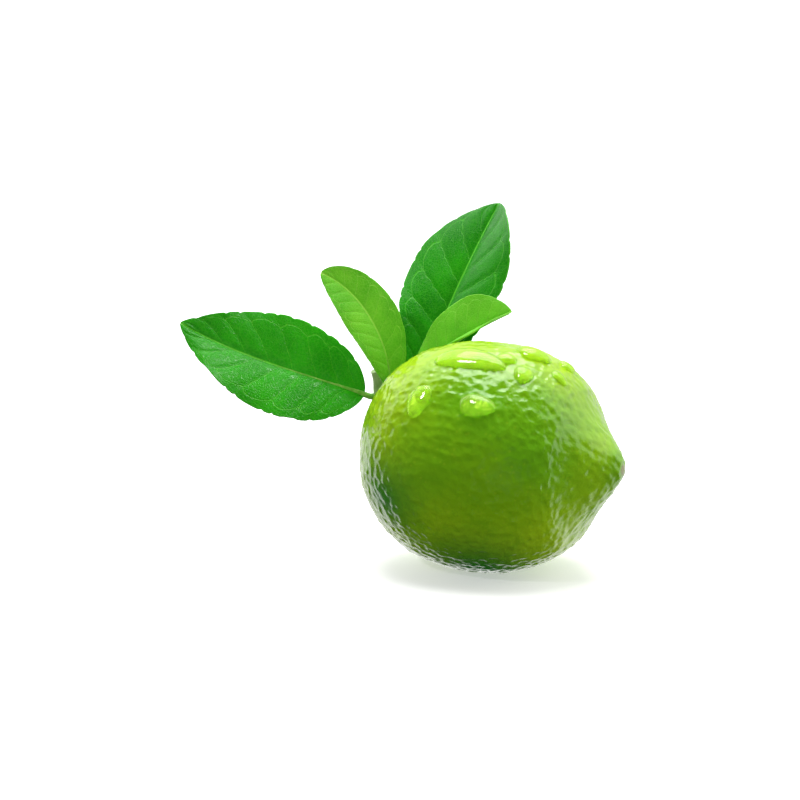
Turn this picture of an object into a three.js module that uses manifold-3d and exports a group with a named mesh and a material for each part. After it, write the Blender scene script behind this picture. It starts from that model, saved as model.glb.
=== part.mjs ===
// A green lime, picked with its stem and a spray of four leaves.
//
// Millimetres, +Z up. The fruit lies on its side on a small flat spot. The origin is the middle of
// that spot, and +X runs level along the fruit's axis, towards the nipple at its blossom end.
//
// The fruit grew as one solid. The calyx is the button that seats on its stem end, the stem leaves
// the calyx, and each leaf is one piece, stalk and blade, that springs from the stem.

import * as THREE from "three";
import { mergeVertices } from "three/addons/utils/BufferGeometryUtils.js";
import Module from "manifold-3d";

// ---------------------------------------------------------------- driving sizes

const seam = 0.3; // left between two pieces that touch

// The fruit: a rounded body, drawn out into a nipple inside a shallow furrow
const fruitDiameter = 53;
const bodyLength = 57; // from stem end to blossom end, without the nipple
const shoulder = 2.25; // 2 rounds the ends like an ellipse, and more makes them fuller
const nippleHeight = 5.2;
const nippleSpread = 7; // distance from the axis at which the nipple has fallen to a third
const furrowDepth = 0.9;
const furrowRadius = 13.5;
const furrowWidth = 3.5;
const hollowDepth = 1.8; // the hollow in the stem end that the calyx sits in
const hollowSpread = 7;
const lumpHeight = 0.55; // how far the body swells and sinks from a true round
const restSpotDiameter = 16;

// The calyx: a five-lobed button, thickest in the middle
const calyxRadius = 3.9;
const calyxThickness = 1.5;
const calyxRim = 0.5;
const calyxLobes = 5;
const lobeDepth = 0.16; // as a share of the radius

// The stem
const stemRadius = 1.25;
const stemFoot = 1.75; // its radius where it swells into the calyx
const stemFootLength = 4;
const nodeSwell = 0.4; // how much the stem swells where a leaf springs from it
const nodeLength = 1.8;

// The leaves
const stalkRadius = 0.6;
const bladeThickness = 0.5;
const tipRadius = 0.35;
const leafClearance = 1; // how far a leaf keeps from the fruit's skin

// ---------------------------------------------------------------- places worked out from them

const bodyRadius = fruitDiameter / 2;
const bodyHalf = bodyLength / 2;
const axisHeight = Math.sqrt(bodyRadius ** 2 - (restSpotDiameter / 2) ** 2);

const bell = (x) => Math.exp(-x * x);
const vector = (x, y, z) => new THREE.Vector3(x, y, z);

// How far along the axis the round skin lies, at a distance r from the axis.
const roundOff = (r) =>
  bodyHalf * Math.max(0, 1 - (r / bodyRadius) ** shoulder) ** (1 / shoulder);
const blossomSkin = (r) =>
  roundOff(r) +
  nippleHeight * bell(r / nippleSpread) -
  furrowDepth * bell((r - furrowRadius) / furrowWidth);
const stemSkin = (r) => hollowDepth * bell(r / hollowSpread) - roundOff(r);

// How far from its axis the body's skin lies, at a distance x along the axis.
const skinRadius = (x) =>
  bodyRadius * Math.max(0, 1 - Math.abs(x / bodyHalf) ** shoulder) ** (1 / shoulder);

// A point placed from the fruit's middle, in shares of its radius: what springs from the stem keeps
// clear of the fruit when the fruit changes size.
const aroundFruit = (x, y, z) =>
  vector(x * bodyHalf, y * bodyRadius, z * bodyRadius + axisHeight);

// ---------------------------------------------------------------- solids

const wasm = await Module();
wasm.setup();

function solidOf(geometry) {
  const bare = geometry.clone();
  bare.deleteAttribute("normal");
  bare.deleteAttribute("uv");
  const merged = mergeVertices(bare, 1e-4);
  return new wasm.Manifold(
    new wasm.Mesh({
      numProp: 3,
      vertProperties: merged.attributes.position.array,
      triVerts: new Uint32Array(merged.index.array),
    }),
  );
}

function geometryOf(solid) {
  const mesh = solid.getMesh();
  const geometry = new THREE.BufferGeometry();
  geometry.setAttribute("position", new THREE.BufferAttribute(mesh.vertProperties, mesh.numProp));
  geometry.setIndex(new THREE.BufferAttribute(mesh.triVerts, 1));
  geometry.computeVertexNormals();
  return geometry;
}

// Moves every vertex of a geometry to where place(x, y, z) says.
function reshape(geometry, place) {
  const position = geometry.attributes.position;
  for (let i = 0; i < position.count; i++) {
    const to = place(position.getX(i), position.getY(i), position.getZ(i));
    position.setXYZ(i, to.x, to.y, to.z);
  }
  geometry.computeVertexNormals();
  return geometry;
}

// ---------------------------------------------------------------- fruit

const fruitRows = 40;
const fruitSides = 60;

// The gentle swellings of a real fruit, which die out towards both ends.
function lumps(around, along) {
  const belt = Math.sin(along) ** 2;
  const wave =
    0.55 * Math.cos(2 * around + 0.6) * Math.cos(along - 1.2) +
    0.45 * Math.cos(3 * around - 1.1 + along) +
    0.35 * Math.cos(5 * around + 2 * along);
  return lumpHeight * belt * wave;
}

function fruitGeometry() {
  const profile = [];
  for (let i = 0; i <= fruitRows; i++) {
    const along = (Math.PI * i) / fruitRows;
    const r = i % fruitRows ? bodyRadius * Math.sin(along) : 0;
    profile.push(new THREE.Vector2(r, along < Math.PI / 2 ? stemSkin(r) : blossomSkin(r)));
  }
  const turned = new THREE.LatheGeometry(profile, fruitSides).rotateZ(-Math.PI / 2);
  const lumpy = reshape(turned, (x, y, z) => {
    const r = Math.hypot(y, z);
    if (r < 1e-6) return vector(x, 0, axisHeight);
    const along = Math.acos(THREE.MathUtils.clamp(-x / bodyHalf, -1, 1));
    const out = 1 + lumps(Math.atan2(z, y), along) / bodyRadius;
    return vector(x, y * out, z * out + axisHeight);
  });
  // the flat spot that the fruit rests on
  const below = new THREE.BoxGeometry(2 * bodyLength, 2 * fruitDiameter, fruitDiameter);
  below.translate(0, 0, -fruitDiameter / 2);
  return geometryOf(solidOf(lumpy).subtract(solidOf(below)));
}

// ---------------------------------------------------------------- calyx

const calyxRows = 5;
const calyxSides = 40;

// The outer face of the calyx, at a share of the way from its middle to its rim.
const calyxDepth = (share) => calyxRim + (calyxThickness - calyxRim) * (1 - share ** 2);

function calyxGeometry() {
  // y is 0 on the face against the fruit and 1 on the outer face
  const profile = [];
  for (let i = 0; i <= calyxRows; i++) profile.push(new THREE.Vector2(i / calyxRows, 1));
  for (let i = calyxRows; i >= 0; i--) profile.push(new THREE.Vector2(i / calyxRows, 0));
  const disc = new THREE.LatheGeometry(profile, calyxSides);
  return reshape(disc, (x, y, z) => {
    const share = Math.hypot(x, z);
    const around = Math.atan2(z, x);
    const lobe = 1 + lobeDepth * Math.cos(calyxLobes * around) * share ** 2;
    const r = share * calyxRadius * lobe;
    const along = stemSkin(r) - seam - y * calyxDepth(share);
    return vector(along, -r * Math.cos(around), r * Math.sin(around) + axisHeight);
  });
}

// ---------------------------------------------------------------- stem

const stemRows = 30;
const stemSides = 12;
const stemStart = stemSkin(0) - calyxThickness - 2 * seam;

// It leaves the calyx straight out, turns up behind the fruit and ends in a clean cut.
const stemLine = new THREE.CubicBezierCurve3(
  vector(stemStart, 0, axisHeight),
  aroundFruit(-1.2, 0, 0),
  aroundFruit(-1.11, 0.55, 0.12),
  aroundFruit(-1.18, 0.38, 0.6),
);
const stemLength = stemLine.getLength();

// Where along the stem each leaf springs from it, as a share of its length
const nodeOf = { left: 0.72, tall: 0.5, middle: 0.62, small: 0.81 };

function stemThickness(share) {
  const fromFoot = share * stemLength;
  let radius = stemRadius + (stemFoot - stemRadius) * bell(fromFoot / stemFootLength);
  for (const node of Object.values(nodeOf)) {
    radius += nodeSwell * bell((fromFoot - node * stemLength) / nodeLength) * 0.5;
  }
  return radius;
}

// A line's own axes at a point: along it, and two across it, with no twist where it turns up.
function axesAt(line, share, facing) {
  const tangent = line.getTangentAt(share);
  const face = facing.clone().addScaledVector(tangent, -facing.dot(tangent)).normalize();
  return { at: line.getPointAt(share), tangent, face, side: tangent.clone().cross(face) };
}

const stemFacing = vector(0, -1, 0);

function stemGeometry() {
  const rod = new THREE.CylinderGeometry(1, 1, 1, stemSides, stemRows);
  return reshape(rod, (x, y, z) => {
    const share = y + 0.5;
    const { at, face, side } = axesAt(stemLine, share, stemFacing);
    const radius = stemThickness(share);
    return at.addScaledVector(side, radius * x).addScaledVector(face, radius * z);
  });
}

// ---------------------------------------------------------------- leaves

const leafRows = 32;
const leafColumns = 8;

// A leaf springs from the stem at its node. reach, lean and tip are the control points of its
// midrib from there, and facing is where its upper face looks at the base and at the tip.
const leaves = {
  left: {
    width: 24.5,
    stalk: 0.03,
    taper: [0.65, 0.85],
    fold: 14,
    curl: 0.01,
    reach: vector(-12, -8, 5),
    lean: vector(-26, -18, 9),
    tip: vector(-38.5, -27, 18.5),
    facing: [vector(0.45, -0.85, 0.35), vector(0.45, -0.8, 0.6)],
  },
  tall: {
    width: 30,
    stalk: 0.12,
    taper: [1.25, 0.7],
    fold: 16,
    curl: 0.008,
    reach: vector(7, 8, 5),
    lean: vector(10.3, 17, 27.5),
    tip: vector(17.4, 31.2, 48.9),
    facing: [vector(0.3, -0.92, 0.1), vector(-0.5, -0.85, 0.25)],
  },
  middle: {
    width: 13.5,
    stalk: 0.1,
    taper: [0.85, 0.7],
    fold: 16,
    curl: 0.015,
    reach: vector(6.5, -1, 8),
    lean: vector(-0.6, -0.4, 26.4),
    tip: vector(-12.2, -6, 31.8),
    facing: [vector(0.75, -0.6, 0.1), vector(0.75, -0.6, 0.3)],
  },
  small: {
    width: 18,
    stalk: 0.2,
    taper: [1.2, 0.75],
    fold: 38,
    curl: 0.012,
    reach: vector(8, 4.2, 5.2),
    lean: vector(17, 5.5, 12.5),
    tip: vector(30.2, 9.5, 18.8),
    facing: [vector(0.25, -0.42, 0.95), vector(0.25, -0.42, 0.95)],
  },
};

// Half the leaf's width at a share of its length: a slim stalk, then a blade that swells and
// narrows again. taper is how fast it narrows to its base and to its tip, 1 being a straight edge.
function halfWidth(leaf, share) {
  const blade = Math.max(0, (share - leaf.stalk) / (1 - leaf.stalk));
  const [toBase, toTip] = leaf.taper;
  const widest = toBase / (toBase + toTip);
  const peak = widest ** toBase * (1 - widest) ** toTip;
  const swell = (blade ** toBase * (1 - blade) ** toTip) / peak;
  const slim = share < leaf.stalk ? stalkRadius : tipRadius;
  return Math.max(slim, stalkRadius * (1 - share)) + (leaf.width / 2) * swell;
}

// A point of the folded blade: a share along its midrib, across to one side, and above its middle.
function bladePoint(leaf, midrib, share, across, above) {
  const facing = leaf.facing[0].clone().lerp(leaf.facing[1], share);
  const { at, face, side } = axesAt(midrib, share, facing);
  const fold = THREE.MathUtils.degToRad(leaf.fold);
  const lift = Math.abs(across) * Math.sin(fold) - leaf.curl * across ** 2;
  return at.addScaledVector(side, -across * Math.cos(fold)).addScaledVector(face, lift + above);
}

// The midrib of a leaf, from just clear of the stem's side to the tip. A leaf that reaches over the
// fruit is pushed out from the fruit's axis, its stalk held, until its edges are clear of the skin.
function midribOf(name) {
  const leaf = leaves[name];
  const node = stemLine.getPointAt(nodeOf[name]);
  const { face: away } = axesAt(stemLine, nodeOf[name], leaf.reach);
  const clear = stemThickness(nodeOf[name]) + stalkRadius + seam;
  const line = new THREE.CubicBezierCurve3(
    node.clone().addScaledVector(away, clear),
    node.clone().add(leaf.reach),
    node.clone().add(leaf.lean),
    node.clone().add(leaf.tip),
  );
  let push = 0;
  for (let share = 0.1; share < 1; share += 0.1) {
    for (const edge of [-1, 0, 1]) {
      const { x, y, z } = bladePoint(leaf, line, share, edge * halfWidth(leaf, share), 0);
      const short = skinRadius(x) + leafClearance - Math.hypot(y, z - axisHeight);
      push = Math.max(push, short / (1 - (1 - share) ** 3));
    }
  }
  for (const point of [line.v1, line.v2, line.v3]) {
    point.addScaledVector(vector(0, point.y, point.z - axisHeight).normalize(), push);
  }
  return line;
}

// The stalk is as thick as it is wide, and thins out into the blade.
const thicknessAt = (leaf, share) =>
  bladeThickness + (2 * stalkRadius - bladeThickness) * bell(Math.max(0, share / leaf.stalk - 0.7));

function leafGeometry(name) {
  const leaf = leaves[name];
  const midrib = midribOf(name);
  const slab = new THREE.BoxGeometry(1, 1, 1, leafRows, leafColumns, 1);
  return reshape(slab, (x, y, z) => {
    const share = x + 0.5;
    const across = 2 * y * halfWidth(leaf, share);
    return bladePoint(leaf, midrib, share, across, z * thicknessAt(leaf, share));
  });
}

// ---------------------------------------------------------------- the picked lime

const skinGreen = new THREE.MeshStandardMaterial({ color: 0x6fae1c, roughness: 0.32, metalness: 0 });
const calyxGreen = new THREE.MeshStandardMaterial({ color: 0x8fa55a, roughness: 0.7, metalness: 0 });
const stemGreen = new THREE.MeshStandardMaterial({ color: 0x9db07c, roughness: 0.65, metalness: 0 });
const oldLeaf = new THREE.MeshStandardMaterial({ color: 0x2b941a, roughness: 0.38, metalness: 0 });
const youngLeaf = new THREE.MeshStandardMaterial({ color: 0x5cb52a, roughness: 0.45, metalness: 0 });

function piece(name, geometry, material) {
  const mesh = new THREE.Mesh(geometry, material);
  mesh.name = name;
  return mesh;
}

const lime = new THREE.Group();
lime.add(piece("fruit", fruitGeometry(), skinGreen));
lime.add(piece("calyx", calyxGeometry(), calyxGreen));
lime.add(piece("stem", stemGeometry(), stemGreen));
lime.add(piece("left_leaf", leafGeometry("left"), oldLeaf));
lime.add(piece("tall_leaf", leafGeometry("tall"), oldLeaf));
lime.add(piece("middle_leaf", leafGeometry("middle"), youngLeaf));
lime.add(piece("small_leaf", leafGeometry("small"), youngLeaf));

export default lime;
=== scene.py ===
"""A green lime, picked with its stem and four leaves, with drops of water on its peel.

Metres, +Z up. The fruit lies on its side, on a small flat spot whose middle is the origin, and +X
runs along the fruit's axis towards the nipple at its blossom end.
"""

import math

import bpy
import numpy as np
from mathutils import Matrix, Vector, noise
from mathutils.bvhtree import BVHTree


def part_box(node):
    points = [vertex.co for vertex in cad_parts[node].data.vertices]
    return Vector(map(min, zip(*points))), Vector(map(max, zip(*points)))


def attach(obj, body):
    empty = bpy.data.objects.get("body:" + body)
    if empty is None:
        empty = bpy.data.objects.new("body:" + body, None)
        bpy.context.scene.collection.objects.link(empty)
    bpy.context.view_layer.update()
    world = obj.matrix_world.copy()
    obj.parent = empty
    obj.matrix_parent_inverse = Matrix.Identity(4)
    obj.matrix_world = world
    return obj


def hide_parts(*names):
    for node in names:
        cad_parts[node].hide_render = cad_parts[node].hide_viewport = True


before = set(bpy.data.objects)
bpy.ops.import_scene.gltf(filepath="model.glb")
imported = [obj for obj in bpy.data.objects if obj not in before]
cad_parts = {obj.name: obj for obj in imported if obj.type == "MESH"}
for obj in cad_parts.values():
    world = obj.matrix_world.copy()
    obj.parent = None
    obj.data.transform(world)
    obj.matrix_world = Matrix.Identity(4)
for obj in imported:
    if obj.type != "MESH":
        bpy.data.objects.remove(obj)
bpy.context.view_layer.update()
scene = bpy.context.scene
mm = 0.001

# ---------------------------------------------------------------- camera
# A long lens a little above the fruit's middle, in front of its nipple end and to the right. It is
# aimed up and to the left of the fruit, which leaves room for the leaves.

fruit_low, fruit_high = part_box("fruit")
fruit_radius = (fruit_high.y - fruit_low.y) / 2
fruit_middle = Vector((0, 0, 25.27 * mm))
camera_azimuth = 27
camera_elevation = 10
camera_distance = 506.7 * mm
aim_left = 19.6 * mm
aim_up = 12.8 * mm


def direction_at(azimuth, elevation):
    """The direction that many degrees round from the front towards the nipple, and up."""
    azimuth = math.radians(azimuth)
    elevation = math.radians(elevation)
    return Vector(
        (
            math.sin(azimuth) * math.cos(elevation),
            -math.cos(azimuth) * math.cos(elevation),
            math.sin(elevation),
        )
    )


towards_camera = direction_at(camera_azimuth, camera_elevation)
view_right = direction_at(camera_azimuth + 90, 0)
view_up = towards_camera.cross(view_right)
aim = fruit_middle - aim_left * view_right + aim_up * view_up

bpy.ops.object.select_all(action="DESELECT")
bpy.ops.object.camera_add(location=aim + camera_distance * towards_camera)
camera = bpy.context.object
camera.rotation_euler = towards_camera.to_track_quat("Z", "Y").to_euler()
camera.data.lens = 100
camera.data.sensor_width = 36
camera.data.clip_start = 0.01
scene.camera = camera

# ---------------------------------------------------------------- light and floor
# A white room seen in a white floor: bright above, behind and at the sides, and dimmer in front,
# so that the wet peel shows its own green in the middle and the white room round its edge.

scene.view_settings.view_transform = "Standard"


def add_node(tree, kind, inputs=None, **settings):
    """A shader node with its settings, and its inputs set to a value or joined to a socket."""
    node = tree.nodes.new(kind)
    for name, value in settings.items():
        setattr(node, name, value)
    for name, value in (inputs or {}).items():
        if isinstance(value, bpy.types.NodeSocket):
            tree.links.new(value, node.inputs[name])
        else:
            node.inputs[name].default_value = value
    return node


def blend_colours(tree, factor, first, second):
    """The colour socket of a mix of two colours."""
    node = add_node(tree, "ShaderNodeMix", {0: factor, 6: first, 7: second}, data_type="RGBA")
    return node.outputs[2]


def step_between(tree, value, start, end, low=0.0, high=1.0):
    """A socket that goes smoothly from low to high as value goes from start to end."""
    inputs = {"Value": value, "From Min": start, "From Max": end, "To Min": low, "To Max": high}
    node = add_node(tree, "ShaderNodeMapRange", inputs, interpolation_type="SMOOTHSTEP")
    return node.outputs[0]


def calculate(tree, operation, first, second=0.0, third=0.0):
    """The socket of one sum."""
    inputs = {0: first, 1: second, 2: third}
    return add_node(tree, "ShaderNodeMath", inputs, operation=operation).outputs[0]


def measure(tree, operation, first, second):
    """The socket of one measure of two vectors, such as their distance."""
    inputs = {0: first, 1: second}
    return add_node(tree, "ShaderNodeVectorMath", inputs, operation=operation).outputs["Value"]


room_front = direction_at(9, -12)
room_down = (0, 0, -1)
front_brightness = 0.03
side_brightness = 1.8
seen_brightness = 1.3
world = bpy.data.worlds.new("white_room")
world.use_nodes = True
scene.world = world
room = world.node_tree
direction = add_node(room, "ShaderNodeTexCoord").outputs["Generated"]
facing = measure(room, "DOT_PRODUCT", direction, room_front)
below = measure(room, "DOT_PRODUCT", direction, room_down)
brightness = step_between(room, facing, 0.02, -0.2, front_brightness, side_brightness)
# black straight below, where the fruit stands, and half as bright right behind
brightness = calculate(room, "MULTIPLY", brightness, step_between(room, below, 0.85, 0.5))
brightness = calculate(room, "MULTIPLY", brightness, step_between(room, facing, -0.5, -1, 1, 0.5))
# plain white wherever the room itself is in view
seen = add_node(room, "ShaderNodeLightPath").outputs["Is Camera Ray"]
backdrop = calculate(room, "MULTIPLY", seen, seen_brightness)
brightness = calculate(room, "MAXIMUM", brightness, backdrop)
room.nodes["Background"].inputs["Color"].default_value = (1, 1, 1, 1)
room.links.new(brightness, room.nodes["Background"].inputs["Strength"])

bpy.ops.mesh.primitive_plane_add(size=8, location=(0, 0, 0))
floor = bpy.context.object
floor.name = "floor"
bpy.ops.object.transform_apply(location=True, rotation=True, scale=True)
white_board = bpy.data.materials.new("white_board")
white_board.use_nodes = True
board_shader = white_board.node_tree.nodes["Principled BSDF"]
board_shader.inputs["Base Color"].default_value = (0.88, 0.88, 0.88, 1)
board_shader.inputs["Roughness"].default_value = 0.9
board_shader.inputs["Specular IOR Level"].default_value = 0.1
board_shader.inputs["Emission Color"].default_value = (1, 1, 1, 1)
board_shader.inputs["Emission Strength"].default_value = 0.45
floor.data.materials.append(white_board)
floor.visible_diffuse = False
floor.visible_glossy = False
floor.visible_shadow = False


def add_panel(name, place, size, power, in_highlights):
    """A soft round light that faces the fruit."""
    bpy.ops.object.light_add(type="AREA", location=place)
    panel = bpy.context.object
    panel.name = name
    panel.rotation_euler = (panel.location - fruit_middle).to_track_quat("Z", "Y").to_euler()
    panel.data.shape = "DISK"
    panel.data.size = size
    panel.data.energy = power
    panel.visible_glossy = in_highlights
    return panel


add_panel("top_panel", (-0.08, 0.18, 0.80), size=0.7, power=7.0, in_highlights=True)
add_panel("front_fill", (0.35, -0.65, -0.10), size=0.6, power=2.3, in_highlights=False)

leaf_middle = Vector((-36, 8, 56)) * mm
bpy.ops.object.light_add(type="SPOT", location=(-0.45, -0.75, 0.75))
leaf_spot = bpy.context.object
leaf_spot.name = "leaf_spot"
leaf_spot.rotation_euler = (leaf_spot.location - leaf_middle).to_track_quat("Z", "Y").to_euler()
leaf_spot.data.energy = 30
leaf_spot.data.spot_size = math.radians(6)
leaf_spot.data.spot_blend = 0.6
leaf_spot.data.shadow_soft_size = 0.06
leaf_spot.visible_glossy = False

# ---------------------------------------------------------------- peel
# The lime's thin, waxy peel, which grew tight over the flesh. It is dotted with oil glands, and has
# a small dry scar at the tip of the nipple, where the flower was.

# a cube, divided into 8 times 16 faces along each edge and blown up round
bpy.ops.object.select_all(action="DESELECT")
bpy.ops.mesh.primitive_cube_add(size=2.4 * fruit_radius, location=fruit_middle)
peel = bpy.context.object
peel.name = "peel"
bpy.ops.object.mode_set(mode="EDIT")
bpy.ops.mesh.subdivide(number_cuts=7)
bpy.ops.mesh.subdivide(number_cuts=15)
bpy.ops.transform.tosphere(value=1)
bpy.ops.object.mode_set(mode="OBJECT")
bpy.ops.object.transform_apply(location=True, rotation=True, scale=True)


def apply_modifier(piece, kind, **settings):
    """Adds a modifier to the active piece and applies it."""
    modifier = piece.modifiers.new(kind.lower(), kind)
    for name, value in settings.items():
        setattr(modifier, name, value)
    bpy.ops.object.modifier_apply(modifier=modifier.name)


def roughen(piece, name, kind, grain, height, **settings):
    """Raises and sinks a piece's surface by a pattern, whose grain and height are in metres."""
    pattern = bpy.data.textures.new(name, kind)
    pattern.noise_scale = grain
    for key, value in settings.items():
        setattr(pattern, key, value)
    apply_modifier(piece, "DISPLACE", texture=pattern, texture_coords="LOCAL", strength=height)


apply_modifier(peel, "SHRINKWRAP", target=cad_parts["fruit"])
apply_modifier(peel, "SMOOTH", factor=0.5, iterations=24)
roughen(peel, "swells", "CLOUDS", 7 * mm, 0.5 * mm, noise_depth=1)
smooth_skin = BVHTree.FromObject(peel, bpy.context.evaluated_depsgraph_get())
roughen(peel, "dimples", "VORONOI", 1.9 * mm, 0.34 * mm)
roughen(peel, "wrinkles", "CLOUDS", 1.2 * mm, 0.26 * mm, noise_depth=1)

# the spot that it rests on is pressed flat
flat_spot_depth = 0.12 * mm
bpy.ops.object.mode_set(mode="EDIT")
bpy.ops.mesh.select_all(action="DESELECT")
bpy.ops.object.mode_set(mode="OBJECT")
for vertex in peel.data.vertices:
    vertex.select = vertex.co.z < flat_spot_depth
bpy.ops.object.mode_set(mode="EDIT")
bpy.ops.transform.resize(value=(1, 1, 0), center_override=(0, 0, 0))
bpy.ops.object.mode_set(mode="OBJECT")
bpy.ops.object.shade_smooth()


def new_finish(name):
    """A material, its node tree and its shader."""
    finish = bpy.data.materials.new(name)
    finish.use_nodes = True
    return finish, finish.node_tree, finish.node_tree.nodes["Principled BSDF"]


def grain_of(tree, place, scale, detail=2.0, kind="ShaderNodeTexNoise", **settings):
    """A noise socket on a position; the scale is in grains to the metre."""
    inputs = {"Vector": place, "Scale": scale}
    if kind == "ShaderNodeTexNoise":
        inputs["Detail"] = detail
    return add_node(tree, kind, inputs, **settings).outputs[0]


waxy_peel, tree, shader = new_finish("waxy_peel")
place = add_node(tree, "ShaderNodeTexCoord").outputs["Object"]
broad = grain_of(tree, place, 45)
fine = grain_of(tree, place, 420, 3.0)
glands = grain_of(tree, place, 620, kind="ShaderNodeTexVoronoi")

# two greens that mingle, both deeper in the front middle as painted shade
# and paler and yellower further out, as painted rim light
painted_shade_middle = Vector((10, -21, 33)) * mm
painted_rim_light = step_between(tree, measure(tree, "DISTANCE", place, painted_shade_middle), 10 * mm, 29 * mm)
deep = blend_colours(tree, painted_rim_light, (0.14, 0.40, 0.007, 1), (0.28, 0.54, 0.01, 1))
light = blend_colours(tree, painted_rim_light, (0.19, 0.44, 0.006, 1), (0.38, 0.61, 0.012, 1))
green = blend_colours(tree, step_between(tree, broad, 0.35, 0.65), deep, light)

# fine dark mottling, and the pale dot of each oil gland
mottling = step_between(tree, fine, 0.45, 0.7, 0.0, 0.25)
green = blend_colours(tree, mottling, green, (0.11, 0.34, 0.006, 1))
gland_dots = step_between(tree, glands, 0.28, 0.1, 0.0, 0.14)
green = blend_colours(tree, gland_dots, green, (0.45, 0.62, 0.03, 1))

# darker round the nipple, and two broad patches of painted shadow low down on the fruit's front
nipple_tip = Vector((fruit_high.x, 0, fruit_middle.z))
from_tip = measure(tree, "DISTANCE", place, nipple_tip)
round_nipple = step_between(tree, from_tip, 9 * mm, 2.5 * mm, 0.0, 0.5)
green = blend_colours(tree, round_nipple, green, (0.12, 0.38, 0.01, 1))
# painted shadow: on the left, of a cut half lime that is not built; at the bottom, where it rests
for painted_shadow_place, reach, depth in (((-14, -22, 19), 14, 0.9), ((5, -14, 1), 21, 1.0)):
    from_painted_shadow = measure(tree, "DISTANCE", place, Vector(painted_shadow_place) * mm)
    painted_shadow_amount = step_between(tree, from_painted_shadow, reach * mm, 0.0, 0.0, depth)
    green = blend_colours(tree, painted_shadow_amount, green, (0.015, 0.22, 0.02, 1))

# the dry scar, with a ragged edge
ragged = calculate(tree, "MULTIPLY_ADD", fine, 2.2 * mm, -1.1 * mm)
scar = step_between(tree, calculate(tree, "ADD", from_tip, ragged), 1.7 * mm, 0.9 * mm)
green = blend_colours(tree, scar, green, (0.30, 0.32, 0.11, 1))
tree.links.new(green, shader.inputs["Base Color"])
tree.links.new(step_between(tree, fine, 0.3, 0.7, 0.1, 0.2), shader.inputs["Roughness"])
shader.inputs["Specular IOR Level"].default_value = 0.4
shader.inputs["Subsurface Weight"].default_value = 0.12
shader.inputs["Subsurface Radius"].default_value = (0.8, 1.0, 0.2)
shader.inputs["Subsurface Scale"].default_value = 1.5 * mm
pores = grain_of(tree, place, 1500, 2.0)
relief = calculate(tree, "MULTIPLY_ADD", glands, 0.7, calculate(tree, "MULTIPLY", pores, 0.3))
relief_inputs = {"Height": relief, "Strength": 0.8, "Distance": 0.15 * mm}
bump = add_node(tree, "ShaderNodeBump", relief_inputs)
tree.links.new(bump.outputs["Normal"], shader.inputs["Normal"])
peel.data.materials.append(waxy_peel)
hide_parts("fruit")
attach(peel, "root")

# ---------------------------------------------------------------- calyx and stem
# The green, woody button that holds the fruit, and the stem that grew on from it. The stem swells
# at each leaf and ends in a clean cut.


def take_copy(node, name, cell):
    """A fine closed skin over a copy of a solid node, which it then stands for."""
    bpy.ops.object.select_all(action="DESELECT")
    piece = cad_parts[node].copy()
    piece.data = piece.data.copy()
    piece.name = name
    piece.data.materials.clear()
    scene.collection.objects.link(piece)
    for key in list(piece.keys()):
        del piece[key]
    piece.parent = None
    bpy.context.view_layer.objects.active = piece
    piece.select_set(True)
    bpy.ops.object.mode_set(mode="EDIT")
    bpy.ops.mesh.select_all(action="SELECT")
    bpy.ops.mesh.remove_doubles(threshold=0.001 * mm)
    bpy.ops.object.mode_set(mode="OBJECT")
    apply_modifier(piece, "REMESH", mode="VOXEL", voxel_size=cell)
    apply_modifier(piece, "SMOOTH", factor=0.5, iterations=6)
    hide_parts(node)
    return piece


calyx = take_copy("calyx", "calyx_button", 0.15 * mm)
roughen(calyx, "button_ridges", "CLOUDS", 1.1 * mm, 0.22 * mm, noise_depth=2)
stem = take_copy("stem", "cut_stem", 0.2 * mm)
roughen(stem, "bark_ridges", "CLOUDS", 1.6 * mm, 0.2 * mm, noise_depth=2)

green_bark, tree, shader = new_finish("green_bark")
place = add_node(tree, "ShaderNodeTexCoord").outputs["Object"]
blotches = step_between(tree, grain_of(tree, place, 260), 0.35, 0.65)
bark = blend_colours(tree, blotches, (0.17, 0.30, 0.09, 1), (0.36, 0.46, 0.22, 1))
specks = grain_of(tree, place, 1300, kind="ShaderNodeTexVoronoi")
speck_dots = step_between(tree, specks, 0.25, 0.1, 0.0, 0.6)
bark = blend_colours(tree, speck_dots, bark, (0.55, 0.6, 0.4, 1))
tree.links.new(bark, shader.inputs["Base Color"])
shader.inputs["Roughness"].default_value = 0.62
bark_relief = {"Height": specks, "Strength": 0.5, "Distance": 0.1 * mm}
bump = add_node(tree, "ShaderNodeBump", bark_relief)
tree.links.new(bump.outputs["Normal"], shader.inputs["Normal"])
for piece, slot in ((calyx, "calyx"), (stem, "stem")):
    piece.data.materials.append(green_bark)
    bpy.context.view_layer.objects.active = piece
    piece.select_set(True)
    bpy.ops.object.shade_smooth()
    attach(piece, "root")

# ---------------------------------------------------------------- leaves
# Two full leaves and two young ones. Each is one blade, folded along its midrib, with a scalloped
# edge and sunken veins that loop together near it. Its stalk runs on under the blade as the midrib.

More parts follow.
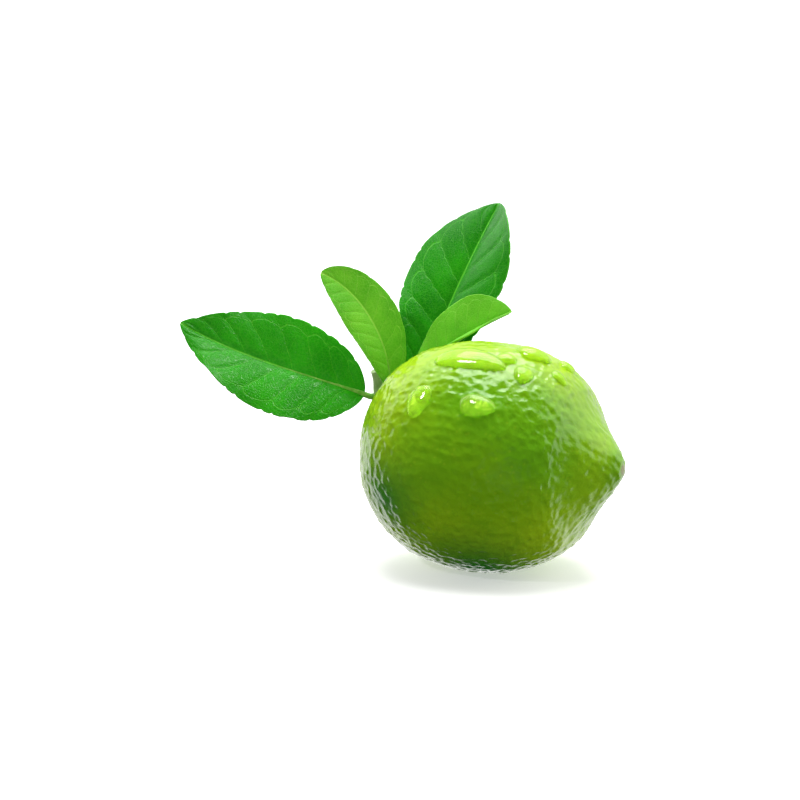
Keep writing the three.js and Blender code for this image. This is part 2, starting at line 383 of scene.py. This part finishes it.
# Lengths are in millimetres.
# root, midrib: where the stalk leaves the stem, and the four points of the midrib's curve
# facing: the way that the blade looks at its base and at its tip
# stalk, taper: the share of the length without a blade, and how slowly the blade narrows at its
#     base and at its tip
# fold, curl: the slope of each half in degrees, and how far it bends back towards its edge
# veins, sweep, quilt: side veins to each half, how far they lean, and how far the blade swells
#     between them
# wave, teeth, notch: how far the edge ripples, its teeth to each half, and how deep they are cut
leaves = {
    "left_leaf": {
        "slot": "old_leaf",
        "root": (-32.9, 10.8, 34.8),
        "midrib": (
            (-34.8, 9.3, 34.9),
            (-44.9, 2.8, 39.8),
            (-58.9, -7.2, 43.8),
            (-71.4, -16.2, 53.3),
        ),
        "facing": ((0.45, -0.85, 0.35), (0.45, -0.8, 0.6)),
        "length": 48,
        "width": 24.5,
        "stalk": 0.03,
        "taper": (0.65, 0.85),
        "fold": 14,
        "curl": 0.01,
        "veins": 8,
        "sweep": 1.5,
        "quilt": 0.16,
        "wave": 0.35,
        "teeth": 11,
        "notch": 0.35,
        "deep": (0.016, 0.30, 0.005, 1),
        "bright": (0.03, 0.41, 0.008, 1),
        "vein": (0.13, 0.58, 0.04, 1),
    },
    "tall_leaf": {
        "slot": "old_leaf",
        "root": (-32.6, 8.6, 30.2),
        "midrib": (
            (-30.4, 9.3, 29.7),
            (-25.6, 16.6, 35.2),
            (-22.3, 25.6, 57.7),
            (-15.2, 39.8, 79.1),
        ),
        "facing": ((0.3, -0.92, 0.1), (-0.5, -0.85, 0.25)),
        "length": 60,
        "width": 30,
        "stalk": 0.12,
        "taper": (1.25, 0.7),
        "fold": 16,
        "curl": 0.008,
        "veins": 8,
        "sweep": 1.6,
        "quilt": 0.16,
        "wave": 0.35,
        "teeth": 11,
        "notch": 0.35,
        "deep": (0.008, 0.19, 0.003, 1),
        "bright": (0.018, 0.30, 0.004, 1),
        "vein": (0.10, 0.52, 0.03, 1),
    },
    "middle_leaf": {
        "slot": "young_leaf",
        "root": (-32.8, 10.1, 32.6),
        "midrib": (
            (-30.7, 9.0, 33.2),
            (-26.3, 9.1, 40.6),
            (-33.4, 9.7, 59.0),
            (-45.0, 4.1, 64.4),
        ),
        "facing": ((0.75, -0.6, 0.1), (0.75, -0.6, 0.3)),
        "length": 38,
        "width": 13.5,
        "stalk": 0.1,
        "taper": (0.85, 0.7),
        "fold": 16,
        "curl": 0.015,
        "veins": 10,
        "sweep": 1.2,
        "quilt": 0.08,
        "wave": 0.2,
        "teeth": 7,
        "notch": 0.12,
        "deep": (0.07, 0.39, 0.01, 1),
        "bright": (0.17, 0.55, 0.025, 1),
        "vein": (0.33, 0.70, 0.08, 1),
    },
    "small_leaf": {
        "slot": "young_leaf",
        "root": (-33.1, 10.9, 36.9),
        "midrib": (
            (-30.9, 12.0, 37.1),
            (-25.1, 15.1, 42.1),
            (-16.1, 16.4, 49.4),
            (-2.9, 20.4, 55.7),
        ),
        "facing": ((0.25, -0.42, 0.95), (0.25, -0.42, 0.95)),
        "length": 35,
        "width": 18,
        "stalk": 0.2,
        "taper": (1.2, 0.75),
        "fold": 38,
        "curl": 0.012,
        "veins": 10,
        "sweep": 1.3,
        "quilt": 0.08,
        "wave": 0.2,
        "teeth": 7,
        "notch": 0.12,
        "deep": (0.07, 0.40, 0.012, 1),
        "bright": (0.16, 0.56, 0.025, 1),
        "vein": (0.28, 0.66, 0.07, 1),
    },
}
blade_rows = 200
blade_columns = 96
blade_thickness = 0.32 * mm
rib_steps = 40
curve_steps = 400


def curve_point(points, share):
    """A point of a Bezier curve of four points, and its direction there."""
    a, b, c, d = points
    back = 1 - share
    at = back**3 * a + 3 * back**2 * share * b + 3 * back * share**2 * c + share**3 * d
    along = back**2 * (b - a) + 2 * back * share * (c - b) + share**2 * (d - c)
    return at, along.normalized()


def even_steps(points, count):
    """The curve's shares that divide its length evenly."""
    shares = [i / curve_steps for i in range(curve_steps + 1)]
    places = [curve_point(points, share)[0] for share in shares]
    run = [0.0]
    for here, there in zip(places, places[1:]):
        run.append(run[-1] + (there - here).length)
    return np.interp(np.linspace(0, run[-1], count), run, shares).tolist()


def face_direction(leaf, share, along):
    """The way that the upper face looks, square to the midrib, at a share of the leaf's length."""
    at_base, at_tip = leaf["facing"]
    look = Vector(at_base).lerp(Vector(at_tip), share)
    return (look - look.dot(along) * along).normalized()


def blade_share(leaf, share):
    """The share of the blade's length that a share of the leaf's length comes to."""
    return max(0.0, (share - leaf["stalk"]) / (1 - leaf["stalk"]))


def blade_width(leaf, share):
    """Half the width of the blade, in millimetres, at a share of the leaf's length."""
    blade = blade_share(leaf, share)
    to_base, to_tip = leaf["taper"]
    widest = to_base / (to_base + to_tip)
    peak = widest**to_base * (1 - widest) ** to_tip
    return 0.3 + leaf["width"] / 2 * blade**to_base * (1 - blade) ** to_tip / peak


def vein_count(leaf, blade, side):
    """Which side vein passes here: a whole number on a vein. side runs from -1 to 1 across."""
    swing = 0.35 * math.sin(7 * blade + leaf["width"]) * abs(side)
    return leaf["veins"] * blade - leaf["sweep"] * abs(side) ** 0.85 + 0.4 * (side > 0) + swing


def blade_lift(leaf, blade, side):
    """How far the upper face stands above the plain fold, in millimetres."""
    on_vein = vein_count(leaf, blade, side)
    off = abs(on_vein - round(on_vein))
    inner = min(1.0, abs(side) * 6) * max(0.0, 1 - abs(side) ** 4) * min(1.0, 6 * blade)
    quilt = leaf["quilt"] * inner * (1 - math.exp(-((off / 0.16) ** 2)))
    groove = -0.22 * math.exp(-((side * 14) ** 2)) * min(1.0, 5 * blade)
    ripple = math.sin(2 * math.pi * (2.6 * blade + 0.3 * (side > 0)))
    return quilt + groove + leaf["wave"] * abs(side) ** 3 * ripple


def scallop(leaf, blade, side):
    """How far the edge is drawn in, in millimetres, where two teeth meet."""
    tooth = leaf["teeth"] * blade + 0.37 * (side > 0) + 0.6 * noise.noise((9 * blade, side, 2))
    off = abs(tooth - round(tooth))
    return leaf["notch"] * math.exp(-((off / 0.13) ** 2)) * min(1.0, 8 * blade)


def make_blade(name, leaf):
    """The blade, as a sheet of its real thickness with its veins' two maps."""
    bpy.ops.object.select_all(action="DESELECT")
    bpy.ops.mesh.primitive_grid_add(
        x_subdivisions=blade_rows, y_subdivisions=blade_columns, size=2
    )
    piece = bpy.context.object
    piece.name = name
    points = [Vector(point) for point in leaf["midrib"]]
    even = even_steps(points, blade_rows + 1)
    fold = math.radians(leaf["fold"])
    vein_map, size_map = [], []
    for vertex in piece.data.vertices:
        row = round((vertex.co.x + 1) / 2 * blade_rows)
        side = vertex.co.y
        share = row / blade_rows
        blade = blade_share(leaf, share)
        at, along = curve_point(points, even[row])
        face = face_direction(leaf, share, along)
        out = along.cross(face)
        half = blade_width(leaf, share)
        half -= scallop(leaf, blade, side) * abs(side) ** 5 * min(1.0, half / 3)
        across = side * half
        # the fold is rounded at the midrib, and its sides curl back towards their edges
        lift = math.sqrt(across**2 + 0.3) * math.sin(fold) - leaf["curl"] * across**2
        lift += blade_lift(leaf, blade, side) * min(1.0, half / 3)
        vertex.co = (at - across * math.cos(fold) * out + lift * face) * mm
        vein_map.append((blade, side / 2 + 0.5))
        size_map.append((share * leaf["length"] / 10, across / 10))
    for map_name, places in (("vein_map", vein_map), ("size_map", size_map)):
        layer = piece.data.uv_layers.new(name=map_name)
        for loop in piece.data.loops:
            layer.data[loop.index].uv = places[loop.vertex_index]
    apply_modifier(piece, "SOLIDIFY", thickness=blade_thickness, offset=0, material_offset=1)
    bpy.ops.object.shade_smooth()
    return piece


def make_rib(name, leaf):
    """The stalk and the midrib under the blade, as one tapering rod."""
    bpy.ops.object.select_all(action="DESELECT")
    bpy.ops.curve.primitive_nurbs_path_add()
    path = bpy.context.object
    path.name = name
    points = [Vector(point) for point in leaf["midrib"]]
    path.data.splines.clear()
    line = path.data.splines.new("POLY")
    line.points.add(rib_steps)
    for i, curve_share in enumerate(even_steps(points, rib_steps + 1)[:-1]):
        share = i / rib_steps
        at, along = curve_point(points, curve_share)
        face = face_direction(leaf, share, along)
        thick = 0.62 * (1 - share) ** 1.4 + 0.12
        sunk = -0.75 * thick * min(1.0, 5 * max(0.0, share - leaf["stalk"]))
        line.points[i + 1].co = (*((at + sunk * face) * mm), 1)
        line.points[i + 1].radius = thick
    line.points[0].co = (*(Vector(leaf["root"]) * mm), 1)
    line.points[0].radius = 0.95
    path.data.bevel_depth = mm
    path.data.bevel_resolution = 3
    path.data.use_fill_caps = True
    bpy.ops.object.convert(target="MESH")
    bpy.ops.object.shade_smooth()
    return bpy.context.object


def vein_lines(tree, leaf, blade, side, size_place):
    """A socket that is 1 on a side vein: the same veins as blade_lift sinks."""
    away = calculate(tree, "ABSOLUTE", side)
    swing = calculate(tree, "SINE", calculate(tree, "MULTIPLY_ADD", blade, 7.0, leaf["width"]))
    swing = calculate(tree, "MULTIPLY", calculate(tree, "MULTIPLY", swing, away), 0.35)
    sweep = calculate(tree, "MULTIPLY", calculate(tree, "POWER", away, 0.85), -leaf["sweep"])
    count = calculate(tree, "MULTIPLY_ADD", blade, leaf["veins"], sweep)
    count = calculate(tree, "ADD", count, swing)
    right = calculate(tree, "MULTIPLY", calculate(tree, "GREATER_THAN", side, 0.0), 0.4)
    count = calculate(tree, "ADD", count, right)
    jitter = grain_of(tree, size_place, 6.0, 2.0)
    count = calculate(tree, "ADD", count, calculate(tree, "MULTIPLY_ADD", jitter, 0.24, -0.12))
    part = calculate(tree, "FRACT", count)
    off = calculate(tree, "ABSOLUTE", calculate(tree, "SUBTRACT", part, 0.5))
    side_vein = step_between(tree, off, 0.475, 0.492)
    fading = step_between(tree, away, 0.86, 0.72)
    side_vein = calculate(tree, "MULTIPLY", side_vein, fading)
    # near the edge, each vein bends round to join the next
    arch = calculate(tree, "MULTIPLY_ADD", calculate(tree, "MULTIPLY", off, off), -0.5, 0.84)
    off_arch = calculate(tree, "ABSOLUTE", calculate(tree, "SUBTRACT", away, arch))
    loop_vein = step_between(tree, off_arch, 0.018, 0.006)
    return calculate(tree, "MAXIMUM", side_vein, loop_vein)


def net_lines(tree, size_place, scale, thickness):
    """A socket that is 1 on the lines of a net; the scale is in meshes to the centimetre."""
    inputs = {"Vector": size_place, "Scale": scale}
    net = add_node(tree, "ShaderNodeTexVoronoi", inputs, feature="DISTANCE_TO_EDGE")
    return step_between(tree, net.outputs[0], thickness, 0.0)


def leaf_finish(name, leaf, deep, bright, roughness, vein_show, relief):
    """Waxy leaf green with pale veins: the looping side veins and the fine net between them."""
    finish, tree, shader = new_finish(name)
    place = add_node(tree, "ShaderNodeTexCoord").outputs["Object"]
    vein_place = add_node(tree, "ShaderNodeUVMap", uv_map="vein_map").outputs[0]
    size_place = add_node(tree, "ShaderNodeUVMap", uv_map="size_map").outputs[0]
    vein_parts = add_node(tree, "ShaderNodeSeparateXYZ", {0: vein_place}).outputs
    size_parts = add_node(tree, "ShaderNodeSeparateXYZ", {0: size_place}).outputs
    blade = vein_parts["X"]
    side = calculate(tree, "MULTIPLY_ADD", vein_parts["Y"], 2.0, -1.0)
    away = calculate(tree, "ABSOLUTE", side)
    veins = vein_lines(tree, leaf, blade, side, size_place)
    show = calculate(tree, "MULTIPLY", veins, 0.8 * vein_show)
    net = net_lines(tree, size_place, 5.5, 0.05)
    show = calculate(tree, "MULTIPLY_ADD", net, 0.25 * vein_show, show)
    fine_net = net_lines(tree, size_place, 16.0, 0.16)
    show = calculate(tree, "MULTIPLY_ADD", fine_net, 0.4 * vein_show, show)
    from_middle = calculate(tree, "ABSOLUTE", size_parts["Y"])
    rib_line = step_between(tree, from_middle, 0.04, 0.018)
    show = calculate(tree, "MAXIMUM", show, rib_line)

    # the green is deeper towards the edge, and the edge itself is pale as a painted rim light
    vein_green = leaf["vein"]
    broad = grain_of(tree, place, 90)
    green = blend_colours(tree, step_between(tree, broad, 0.3, 0.7), deep, bright)
    green = blend_colours(tree, step_between(tree, away, 0.5, 1.0, 0.0, 0.35), green, deep)
    green = blend_colours(tree, calculate(tree, "MINIMUM", show, 1.0), green, vein_green)
    # painted rim light along the very edge of the blade
    edge = step_between(tree, away, 0.975, 1.0, 0.0, 0.6)
    green = blend_colours(tree, edge, green, vein_green)
    tree.links.new(green, shader.inputs["Base Color"])
    shader.inputs["Roughness"].default_value = roughness
    shader.inputs["Subsurface Weight"].default_value = 0.15
    shader.inputs["Subsurface Radius"].default_value = (0.5, 1.0, 0.2)
    shader.inputs["Subsurface Scale"].default_value = 0.6 * mm
    shader.inputs["Specular IOR Level"].default_value = 0.15
    height = calculate(tree, "MULTIPLY", show, relief)
    relief_inputs = {"Height": height, "Strength": 0.8, "Distance": 0.12 * mm}
    bump = add_node(tree, "ShaderNodeBump", relief_inputs)
    tree.links.new(bump.outputs["Normal"], shader.inputs["Normal"])
    return finish


# a small light that only the left leaf catches, as a sheen
leaf_sheen = add_panel("leaf_sheen", (0.60, 0.02, 0.65), size=0.14, power=4.0, in_highlights=True)
leaf_sheen.visible_diffuse = False
sheen_only = bpy.data.collections.new("sheen_only")
leaf_sheen.light_linking.receiver_collection = sheen_only

pale_rib, tree, shader = new_finish("pale_rib")
place = add_node(tree, "ShaderNodeTexCoord").outputs["Object"]
streaks = step_between(tree, grain_of(tree, place, 700), 0.35, 0.65)
rib_green = blend_colours(tree, streaks, (0.16, 0.45, 0.05, 1), (0.28, 0.56, 0.1, 1))
tree.links.new(rib_green, shader.inputs["Base Color"])
shader.inputs["Roughness"].default_value = 0.45

underside_green = (0.25, 0.55, 0.12, 1)
for name, leaf in leaves.items():
    blade = make_blade(name + "_blade", leaf)
    pale = tuple(0.5 * a + 0.5 * b for a, b in zip(leaf["bright"], underside_green))
    top_roughness = 0.24 if leaf["slot"] == "old_leaf" else 0.45
    # the veins are sunken above and stand out below
    top = leaf_finish(name, leaf, leaf["deep"], leaf["bright"], top_roughness, 0.5, -1.0)
    underside = leaf_finish(name + "_back", leaf, pale, pale, 0.6, 0.6, 1.0)
    blade.data.materials.append(top)
    blade.data.materials.append(underside)
    if name == "left_leaf":
        sheen_only.objects.link(blade)
    rib = make_rib(name + "_rib", leaf)
    rib.data.materials.append(pale_rib)
    for piece in (blade, rib):
        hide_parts(name)
        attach(piece, "root")

# ---------------------------------------------------------------- drops of water
# Drops that cling to the upper front of the peel after rinsing. Each is a low dome, rounded at its
# edge and pulled out of round, that follows the broad swells of the peel under it.

# each drop's place, in degrees from the top towards the front and in millimetres towards the
# nipple; its length, width and height in millimetres; its bend; and its turn in degrees
drops = {
    "long_drop": ((25, 1), (17, 7.4, 1.3), 0.018, 0),
    "joined_drop": ((20, 8.8), (4.6, 4.2, 0.9), 0, 10),
    "round_drop": ((27, 13.9), (4.4, 5.2, 1.0), 0.02, 30),
    "top_drop": ((6, 12.8), (8.2, 5.5, 1.2), 0, 8),
    "far_drop": ((-8, 18.4), (4.2, 3.6, 0.9), 0, 20),
    "little_drop": ((12, 19.6), (4.4, 3.6, 0.8), 0, -20),
    "low_drop": ((53, 7.2), (8.2, 5.6, 1.5), 0.02, 0),
    "side_drop": ((53, -6.7), (5.4, 8.6, 1.1), 0.03, -8),
}

water_with_painted_light, _, shader = new_finish("water_with_painted_light")
# a fifth of the water is diffuse bright yellow-green: painted light, for the light a drop gathers
# onto the peel
shader.inputs["Base Color"].default_value = (0.78, 1.0, 0.1, 1)
shader.inputs["Roughness"].default_value = 0.0
shader.inputs["IOR"].default_value = 1.36
shader.inputs["Transmission Weight"].default_value = 0.8

# a small light that only the drops catch, as a glint
drop_glint = add_panel("drop_glint", (-0.22, -0.50, 0.75), size=0.3, power=9.0, in_highlights=True)
drop_glint.visible_diffuse = False
wet_only = bpy.data.collections.new("wet_only")
drop_glint.light_linking.receiver_collection = wet_only

fruit_axis = Vector((1, 0, 0))
for name, ((around, along), (length, width, height), bend, turn) in drops.items():
    bpy.ops.object.select_all(action="DESELECT")
    bpy.ops.mesh.primitive_uv_sphere_add(segments=64, ring_count=32, radius=1)
    piece = bpy.context.object
    piece.name = name
    around = math.radians(around)
    turn = math.radians(turn)
    outward = Vector((0, -math.sin(around), math.cos(around)))
    middle = Vector((along * mm, 0, fruit_middle.z))
    seat, normal, _, _ = smooth_skin.ray_cast(middle + 1.2 * fruit_radius * outward, -outward)
    long_way = (fruit_axis - fruit_axis.dot(normal) * normal).normalized()
    wide_way = normal.cross(long_way)
    for vertex in piece.data.vertices:
        x, y, z = vertex.co
        angle = math.atan2(y, x)
        uneven = 1 + 0.07 * math.sin(3 * angle + along) + 0.05 * math.sin(2 * angle + 1)
        u = x * uneven * length / 2
        v = y * uneven * width / 2 - bend * u**2
        u, v = u * math.cos(turn) - v * math.sin(turn), u * math.sin(turn) + v * math.cos(turn)
        foot = smooth_skin.find_nearest(seat + (u * long_way + v * wide_way) * mm)[0]
        rise = 1.25 * height * z**0.9 if z > 0 else 0.4 * z
        vertex.co = foot + rise * normal * mm
    apply_modifier(piece, "SMOOTH", factor=0.5, iterations=3)
    bpy.ops.object.shade_smooth()
    piece.data.materials.append(water_with_painted_light)
    wet_only.objects.link(piece)
    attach(piece, "root")
